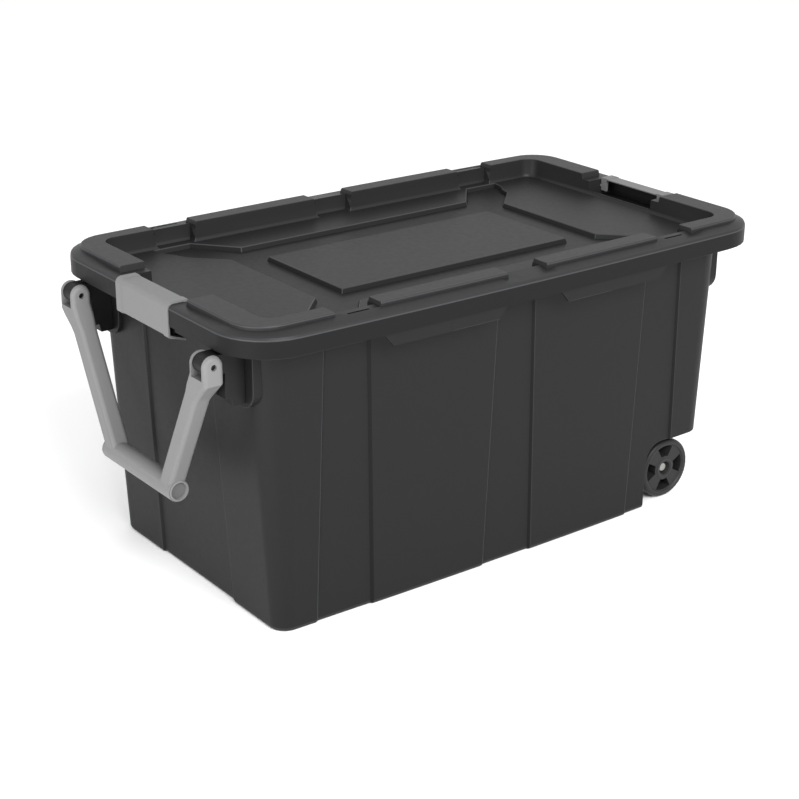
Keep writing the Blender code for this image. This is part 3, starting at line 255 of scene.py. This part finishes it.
def open_faces(shape, lean):
    """Faces that are seen from outside: a ray along their normal, leant along Z, gets away."""
    tree = BVHTree.FromBMesh(shape)
    found = set()
    for face in shape.faces:
        ray = face.normal + Vector((0, 0, lean))
        if ray.length < SHORTEST_RAY:
            continue
        start = face.calc_center_median() + face.normal * LEVEL_PLAY
        if tree.ray_cast(start, ray.normalized())[0] is None:
            found.add(face)
    return found


def can_round(edge, width, angle):
    """Whether an edge is an outer sharp one with room for a bevel.

    Edges beside a latch, at its hinge slot or under it, and at the lid's ledge, stay sharp."""
    if not edge.is_convex or edge.calc_face_angle() < math.radians(angle):
        return False
    if all(abs(v.co.y) < LATCH_BAY_SIDE and abs(v.co.x) > LATCH_BAY_END for v in edge.verts):
        return False
    if any(abs(v.co.z - LEDGE_TOP) < LEDGE_RISE + EDGE_PLAY for v in edge.verts):
        return False
    length = edge.calc_length()
    narrow = any(face.calc_area() < ROOM_BESIDE * width * length for face in edge.link_faces)
    return length >= ROOM_ALONG * width and not narrow


def outline_crossings(shape):
    """Corners near which a face's outline crosses itself, which would leave folded faces."""
    spots = []
    for face in shape.faces:
        if len(face.verts) < 4:
            continue
        flat = sorted(range(3), key=lambda axis: abs(face.normal[axis]))[:2]
        corners = [vertex.co for vertex in face.verts]
        points = [Vector((corner[flat[0]], corner[flat[1]])) for corner in corners]
        count = len(points)
        for first in range(count - 2):
            for second in range(first + 2, count - (first == 0)):
                after = (second + 1) % count
                if intersect_line_line_2d(points[first], points[first + 1], points[second],
                                          points[after]):
                    spots += [corners[index] for index in (first, first + 1, second, after)]
    return [spot.copy() for spot in spots]


def lies_near(edge, spots, reach):
    """Whether an edge passes one of the spots within a distance."""
    start, end = (vertex.co for vertex in edge.verts)
    way = end - start
    for spot in spots:
        share = min(max((spot - start).dot(way) / way.length_squared, 0.0), 1.0)
        if (start + way * share - spot).length < reach:
            return True
    return False


def round_edges(shape, width, angle, segments=2, chosen=None, level=None):
    """The shape with its outer sharp edges bevelled, or those between chosen faces or at a level.

    The new faces are marked as edges, which the materials paint paler as a highlight. Edges whose
    bevel would fold a face stay sharp."""
    shape.edges.index_update()
    sharp = [edge for edge in shape.edges if can_round(edge, width, angle)]
    if chosen is not None:
        sharp = [edge for edge in sharp if all(face in chosen for face in edge.link_faces)]
    if level is not None:
        sharp = [edge for edge in sharp
                 if all(abs(v.co.z - level) <= EDGE_PLAY for v in edge.verts)]
    for reach in ROUNDING_TRIES:
        trial = shape.copy()
        trial.edges.ensure_lookup_table()
        made = bmesh.ops.bevel(trial, geom=[trial.edges[edge.index] for edge in sharp],
                               offset=width, offset_type="OFFSET", segments=segments,
                               profile=0.5, affect="EDGES", clamp_overlap=False, material=-1)
        mark = trial.faces.layers.float["edge"]
        for face in made["faces"]:
            face[mark] = 1.0
        trial.normal_update()
        spots = outline_crossings(trial)
        if not spots:
            break
        sharp = [edge for edge in sharp if not lies_near(edge, spots, reach * width)]
    shape.free()
    return trial


def tilt_ledge(shape):
    """Raise the inner side of the lid's ledge, so that it falls towards its rounded rim."""
    raised = []
    for vertex in shape.verts:
        rim = any(STEEPEST_RIM < abs(face.normal.z) < FLATTEST_ROUNDING
                  for face in vertex.link_faces)
        beside_latch = abs(vertex.co.y) < LATCH_BAY_SIDE
        if abs(vertex.co.z - LEDGE_TOP) < LEVEL_PLAY and not rim and not beside_latch:
            raised.append(vertex)
    ledge = {face for vertex in raised for face in vertex.link_faces if face.normal.z > LEVEL}
    bmesh.ops.triangulate(shape, faces=list(ledge))
    for vertex in raised:
        vertex.co.z += LEDGE_RISE
    shape.normal_update()


def mark_rim(shape):
    """Mark the rounding round the lid's rim for a faint painted highlight."""
    mark = shape.faces.layers.float["edge"]
    for face in shape.faces:
        sloping = STEEPEST_ROUNDING < face.normal.z < FLATTEST_ROUNDING
        if sloping and RIM_LOW < face.calc_center_median().z < RIM_HIGH:
            face[mark] = max(face[mark], RIM_HIGHLIGHT)


def mark_shaded_lid(shape):
    """Mark the lid's skirt for full painted shade and dullness, its sunk floor for about half and
    its island for less.
    """
    mark = shape.faces.layers.float.new("dull_and_shaded")
    for face in shape.faces:
        middle = face.calc_center_median()
        outward = face.normal.x * middle.x + face.normal.y * middle.y > 0
        at_rim = abs(middle.y) > LID_SKIRT_SIDE or abs(middle.x) > LID_SKIRT_END
        on_island = middle.z < PLATEAU_TOP + MM and abs(middle.x) < ISLAND_END
        if abs(face.normal.z) < UPRIGHT and outward and at_rim and middle.z < SKIRT_TOP:
            face[mark] = SKIRT_DULL_SHADE
        elif face.normal.z > SLOPING_FLOOR and middle.z < POCKET_TOP:
            face[mark] = FLOOR_DULL_SHADE
        elif face.normal.z > LEVEL and on_island:
            face[mark] = ISLAND_DULL_SHADE


def mark_column_sides(shape):
    """Mark the sides of the long walls' columns that face the handle's end for painted shade and
    less shine, and take their painted highlight off.
    """
    dull_and_shaded = shape.faces.layers.float.new("dull_and_shaded")
    painted_highlight = shape.faces.layers.float["edge"]
    for face in shape.faces:
        middle = face.calc_center_median()
        on_long_wall = abs(middle.y) > LONG_WALL_SIDE and abs(middle.x) < LONG_WALL_END
        upright = abs(face.normal.z) < LEANING_WALL
        if on_long_wall and face.normal.x < -COLUMN_SIDE and upright:
            face[dull_and_shaded] = 1.0
            face[painted_highlight] = 0.0


def mark_bar_dishes(shape):
    """Mark the dished ends of the handle's bar, its lowest part, for painted shade and less
    shine.
    """
    mark = shape.faces.layers.float.new("dull_and_shaded")
    bar_top = min(v.co.z for v in shape.verts) + BAR_HEIGHT
    bar_end = max(abs(v.co.y) for v in shape.verts if v.co.z < bar_top)
    for face in shape.faces:
        middle = face.calc_center_median()
        dished = abs(face.normal.y) > BAR_DISH and abs(middle.y) < bar_end - DISH_DEPTH
        if middle.z < bar_top and dished:
            face[mark] = 1.0


def is_soft(edge):
    """Whether shading runs on over an edge: not at a sharp one or at a level face's border.

    The lid's tilted ledge is one soft surface, level parts included."""
    if len(edge.link_faces) != 2 or edge.calc_face_angle() > math.radians(SHADING_ANGLE):
        return False
    low, high = LEDGE_TOP - EDGE_PLAY, LEDGE_TOP + LEDGE_RISE + EDGE_PLAY
    if all(low < v.co.z < high for v in edge.verts):
        return True
    level = [abs(face.normal.z) > FLAT for face in edge.link_faces]
    return level[0] == level[1]


def finish_piece(shape, name, body, nodes, material):
    """Turn a bmesh into a piece that rides on a body and stands for CAD nodes."""
    for face in shape.faces:
        face.smooth = True
    for edge in shape.edges:
        edge.smooth = is_soft(edge)
    mesh = bpy.data.meshes.new(name)
    shape.to_mesh(mesh)
    shape.free()
    mesh.materials.append(material)
    piece = bpy.data.objects.new(name, mesh)
    bpy.context.scene.collection.objects.link(piece)
    flat = piece.modifiers.new("flat_faces", "WEIGHTED_NORMAL")
    flat.keep_sharp = True
    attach(piece, body)
    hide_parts(*nodes)


# Sizes and colours that a user would change

class BinSizes(bpy.types.PropertyGroup):
    """Roundings of the shown pieces."""
    tub_edge: FloatProperty(name="Tub edge", description="Rounding of the tub's columns",
                            default=1.0 * MM, unit="LENGTH")
    lid_edge: FloatProperty(name="Lid edge", description="Rounding of the lid's blocks",
                            default=1.0 * MM, unit="LENGTH")
    plateau_edge: FloatProperty(name="Plateau edge", description="Rounding of the lid's plateaus",
                                default=1.2 * MM, unit="LENGTH")
    latch_edge: FloatProperty(name="Latch edge", description="Rounding of the latches",
                              default=0.7 * MM, unit="LENGTH")
    handle_edge: FloatProperty(name="Handle edge", description="Rounding of the handle's fork",
                               default=1.2 * MM, unit="LENGTH")
    bracket_edge: FloatProperty(name="Bracket edge", description="Rounding of the brackets",
                                default=0.8 * MM, unit="LENGTH")
    pin_edge: FloatProperty(name="Pin edge", description="Rounding of the handle's pins",
                            default=0.4 * MM, unit="LENGTH")
    wheel_edge: FloatProperty(name="Wheel edge", description="Rounding of the wheels",
                              default=0.8 * MM, unit="LENGTH")
    cap_edge: FloatProperty(name="Cap edge", description="Rounding of the axle's caps",
                            default=0.3 * MM, unit="LENGTH")


class BinColours(bpy.types.PropertyGroup):
    """Colours of the shown pieces."""
    tub: FloatVectorProperty(name="Tub", description="Tub's plastic", subtype="COLOR", size=4,
                             default=linear("#141415"))
    lid: FloatVectorProperty(name="Lid", description="Lid's plastic", subtype="COLOR", size=4,
                             default=linear("#222223"))
    grey: FloatVectorProperty(name="Handle and latches", description="Grey plastic",
                              subtype="COLOR", size=4, default=linear("#696969"))
    bracket: FloatVectorProperty(name="Brackets", description="Black plastic", subtype="COLOR",
                                 size=4, default=linear("#141414"))
    wheel: FloatVectorProperty(name="Wheels", description="Wheel plastic", subtype="COLOR",
                               size=4, default=linear("#232324"))
    steel: FloatVectorProperty(name="Steel", description="Axle and caps", subtype="COLOR",
                               size=4, default=linear("#9c9c99"))
    pin: FloatVectorProperty(name="Pins", description="Blackened steel", subtype="COLOR",
                             size=4, default=linear("#2a2a2a"))


# Pieces. The real texture of the moulds is a few tenths of a millimetre, too fine to show,
# so each grain is drawn coarser, at about a millimetre.

class MakeTub(bpy.types.Operator):
    """Make the tub: moulded walls with soft-edged columns"""
    bl_idname = "storage_bin.make_tub"
    bl_label = "Tub"

    def execute(self, context):
        shape = merged_copy("tub")
        shape = round_edges(shape, context.scene.bin_sizes.tub_edge, SHELL_ANGLE,
                            chosen=open_faces(shape, TUB_LEAN))
        mark_column_sides(shape)
        # Charcoal polypropylene from a textured mould: satin walls, with painted highlights on
        # the rounded edges and painted shade on the columns' sides that face the handle's end
        material = moulded_plastic("charcoal_polypropylene", context.scene.bin_colours.tub,
                                   roughness=0.5, grain=1.1 * MM, depth=0.01 * MM, mottle=0.02,
                                   edge_highlight=3.0, dull_shade=0.72)
        finish_piece(shape, "tub_shell", "base", ["tub"], material)
        return {"FINISHED"}


class MakeLid(bpy.types.Operator):
    """Make the lid: ridge blocks, pocket, plateaus and island with soft edges"""
    bl_idname = "storage_bin.make_lid"
    bl_label = "Lid"

    def execute(self, context):
        sizes = context.scene.bin_sizes
        shape = merged_copy("lid")
        tilt_ledge(shape)
        shape = round_edges(shape, sizes.plateau_edge, SHELL_ANGLE, segments=3,
                            chosen=open_faces(shape, LID_LEAN), level=PLATEAU_TOP)
        shape = round_edges(shape, sizes.lid_edge, SHELL_ANGLE, segments=3,
                            chosen=open_faces(shape, LID_LEAN))
        mark_rim(shape)
        mark_shaded_lid(shape)
        # Polypropylene from a smoother mould: a soft sheen above, painted highlights on the
        # rounded edges, and painted shade with less shine on the skirt, sunk floor and island
        material = moulded_plastic("lid_polypropylene", context.scene.bin_colours.lid,
                                   roughness=0.42, grain=1.1 * MM, depth=0.006 * MM,
                                   mottle=0.015, edge_highlight=2.2, dull_shade=0.5)
        finish_piece(shape, "lid_shell", "lid", ["lid"], material)
        return {"FINISHED"}


def grey_plastic(context):
    """The grey plastic that the handle and the latches share."""
    # Grey polypropylene: even and nearly matt, with a faint painted highlight on its edges and
    # painted shade in the bar's dished ends
    return bpy.data.materials.get("grey_polypropylene") or moulded_plastic(
        "grey_polypropylene", context.scene.bin_colours.grey, roughness=0.45, grain=0.9 * MM,
        depth=0.02 * MM, mottle=0.03, edge_highlight=1.2, dull_shade=0.6)


class MakeLatches(bpy.types.Operator):
    """Make both clip latches: C-shaped mouldings with raised side borders"""
    bl_idname = "storage_bin.make_latches"
    bl_label = "Latches"

    def execute(self, context):
        for end in ("handle_end", "wheel_end"):
            node = "latch_" + end
            shape = merged_copy(node)
            shape = round_edges(shape, context.scene.bin_sizes.latch_edge, LATCH_ANGLE)
            finish_piece(shape, "clip_" + end, node, [node],
                         grey_plastic(context))
        return {"FINISHED"}


class MakeHandle(bpy.types.Operator):
    """Make the pull handle: forked arms and a round bar"""
    bl_idname = "storage_bin.make_handle"
    bl_label = "Pull handle"

    def execute(self, context):
        shape = merged_copy("pull_handle")
        shape = round_edges(shape, context.scene.bin_sizes.handle_edge, HANDLE_ANGLE)
        mark_bar_dishes(shape)
        finish_piece(shape, "handle_moulding", "handle", ["pull_handle"],
                     grey_plastic(context))
        return {"FINISHED"}


class MakeBrackets(bpy.types.Operator):
    """Make the handle's two black brackets and their pins"""
    bl_idname = "storage_bin.make_brackets"
    bl_label = "Brackets"

    def execute(self, context):
        sizes = context.scene.bin_sizes
        colours = context.scene.bin_colours
        # Black polypropylene: so dark that only its rounded edges stand out, painted paler as a
        # highlight
        black = moulded_plastic("black_polypropylene", colours.bracket, roughness=0.5,
                                grain=0.9 * MM, depth=0.02 * MM)
        # Blackened steel: a dark metal whose end catches a soft light
        steel = bare_steel("blackened_pin", colours.pin)
        for side in ("front", "rear"):
            node = "handle_bracket_" + side
            shape = round_edges(merged_copy(node), sizes.bracket_edge, BRACKET_ANGLE)
            finish_piece(shape, "bracket_" + side, "base", [node], black)
            node = "handle_pin_" + side
            pin = round_edges(merged_copy(node), sizes.pin_edge, BRACKET_ANGLE)
            finish_piece(pin, "pin_" + side, "base", [node], steel)
        return {"FINISHED"}


class MakeWheels(bpy.types.Operator):
    """Make both wheels, with four deep pockets each, the axle and its caps"""
    bl_idname = "storage_bin.make_wheels"
    bl_label = "Wheels and axle"

    def execute(self, context):
        sizes = context.scene.bin_sizes
        colours = context.scene.bin_colours
        # Moulded polyethylene: dark and satin, with a faint shine on its tread and a painted
        # highlight on its rounded edges
        plastic = moulded_plastic("wheel_polyethylene", colours.wheel, roughness=0.42,
                                  grain=0.9 * MM, depth=0.02 * MM)
        # Zinc-plated steel: pale and cloudy, and bright where it mirrors the studio
        steel = bare_steel("zinc_plated_axle", colours.steel)
        for side in ("front", "rear"):
            node = "wheel_" + side
            wheel = round_edges(merged_copy(node), sizes.wheel_edge, WHEEL_ANGLE)
            finish_piece(wheel, "roller_" + side, node, [node], plastic)
            node = "axle_cap_" + side
            cap = round_edges(merged_copy(node), sizes.cap_edge, WHEEL_ANGLE)
            finish_piece(cap, "cap_" + side, "base", [node], steel)
        finish_piece(merged_copy("axle"), "axle_rod", "base", ["axle"], steel)
        return {"FINISHED"}


# Studio

CAMERA_PLACE = (-1.539, -1.989, 1.189)
CAMERA_YAW = 37.14
CAMERA_PITCH = 21.83
CAMERA_ROLL = 0.29
CAMERA_LENS = 79.516
CAMERA_SENSOR = 36.0
FLOOR_SIZE = 60.0
FLOOR_DROP = 0.2 * MM


def add_floor():
    """Wide floor just below the wheels, so that no face lies in another."""
    shape = bmesh.new()
    bmesh.ops.create_grid(shape, x_segments=1, y_segments=1, size=FLOOR_SIZE / 2)
    bmesh.ops.translate(shape, vec=(0, 0, -FLOOR_DROP), verts=shape.verts)
    mesh = bpy.data.meshes.new("floor")
    shape.to_mesh(mesh)
    shape.free()
    # White studio paper: matt, so that the bin's shadow on it is soft
    material, _, shader = new_material("white_studio_paper")
    shader.inputs["Base Color"].default_value = linear("#fafafa")
    shader.inputs["Roughness"].default_value = 0.9
    shader.inputs["Specular IOR Level"].default_value = 0.1
    mesh.materials.append(material)
    floor = bpy.data.objects.new("floor", mesh)
    bpy.context.scene.collection.objects.link(floor)


def add_world():
    """Even white light from all round, shown without a film curve."""
    world = bpy.data.worlds.new("studio")
    world.use_nodes = True
    back = world.node_tree.nodes["Background"]
    back.inputs["Color"].default_value = linear("#ffffff")
    back.inputs["Strength"].default_value = 1.0
    bpy.context.scene.world = world
    bpy.context.scene.view_settings.view_transform = "Standard"


def add_softbox(name, place, target, size, power):
    """Rectangular area light that faces a point."""
    data = bpy.data.lights.new(name, "AREA")
    data.shape = "RECTANGLE"
    data.size, data.size_y = size
    data.energy = power
    lamp = bpy.data.objects.new(name, data)
    lamp.location = place
    lamp.rotation_euler = (Vector(target) - Vector(place)).to_track_quat("-Z", "Y").to_euler()
    bpy.context.scene.collection.objects.link(lamp)


def add_camera():
    """Camera at the photograph's place and angle."""
    yaw, pitch, roll = (math.radians(a) for a in (CAMERA_YAW, CAMERA_PITCH, CAMERA_ROLL))
    ahead = Vector((math.sin(yaw) * math.cos(pitch), math.cos(yaw) * math.cos(pitch),
                    -math.sin(pitch)))
    level = Vector((math.cos(yaw), -math.sin(yaw), 0.0))
    above = level.cross(ahead)
    right = level * math.cos(roll) + above * math.sin(roll)
    up = right.cross(ahead)
    data = bpy.data.cameras.new("camera")
    data.lens = CAMERA_LENS
    data.sensor_width = CAMERA_SENSOR
    camera = bpy.data.objects.new("camera", data)
    turn = Matrix((right, up, -ahead)).transposed().to_4x4()
    camera.matrix_world = Matrix.Translation(CAMERA_PLACE) @ turn
    bpy.context.scene.collection.objects.link(camera)
    bpy.context.scene.camera = camera


class MakeStage(bpy.types.Operator):
    """Make the floor, the studio's lights and the camera"""
    bl_idname = "storage_bin.make_stage"
    bl_label = "Studio"

    def execute(self, context):
        add_floor()
        add_world()
        add_softbox("softbox_left", place=(-2.8, -0.9, 0.55), target=(-0.4, 0, 0.25),
                    size=(1.8, 0.7), power=50)
        add_softbox("softbox_front", place=(-0.5, -3.0, 2.4), target=(0, 0, 0.2),
                    size=(2.4, 1.6), power=165)
        add_camera()
        return {"FINISHED"}


# Panel and registration

class BinPanel(bpy.types.Panel):
    """Sizes, colours and makers of the storage bin"""
    bl_idname = "VIEW3D_PT_storage_bin"
    bl_label = "Storage bin"
    bl_space_type = "VIEW_3D"
    bl_region_type = "UI"
    bl_category = "Storage bin"

    def draw(self, context):
        column = self.layout.column()
        for group in (context.scene.bin_sizes, context.scene.bin_colours):
            for name in group.__annotations__:
                column.prop(group, name)
        for maker in MAKERS:
            column.operator(maker.bl_idname)


MAKERS = (MakeTub, MakeLid, MakeLatches, MakeHandle, MakeBrackets, MakeWheels, MakeStage)
CLASSES = (BinSizes, BinColours) + MAKERS + (BinPanel,)


def register():
    for item in CLASSES:
        bpy.utils.register_class(item)
    bpy.types.Scene.bin_sizes = PointerProperty(type=BinSizes)
    bpy.types.Scene.bin_colours = PointerProperty(type=BinColours)


def unregister():
    del bpy.types.Scene.bin_colours
    del bpy.types.Scene.bin_sizes
    for item in reversed(CLASSES):
        bpy.utils.unregister_class(item)


def main():
    register()
    bpy.ops.storage_bin.make_tub()
    bpy.ops.storage_bin.make_lid()
    bpy.ops.storage_bin.make_latches()
    bpy.ops.storage_bin.make_handle()
    bpy.ops.storage_bin.make_brackets()
    bpy.ops.storage_bin.make_wheels()
    bpy.ops.storage_bin.make_stage()


if __name__ == "__main__":
    main()
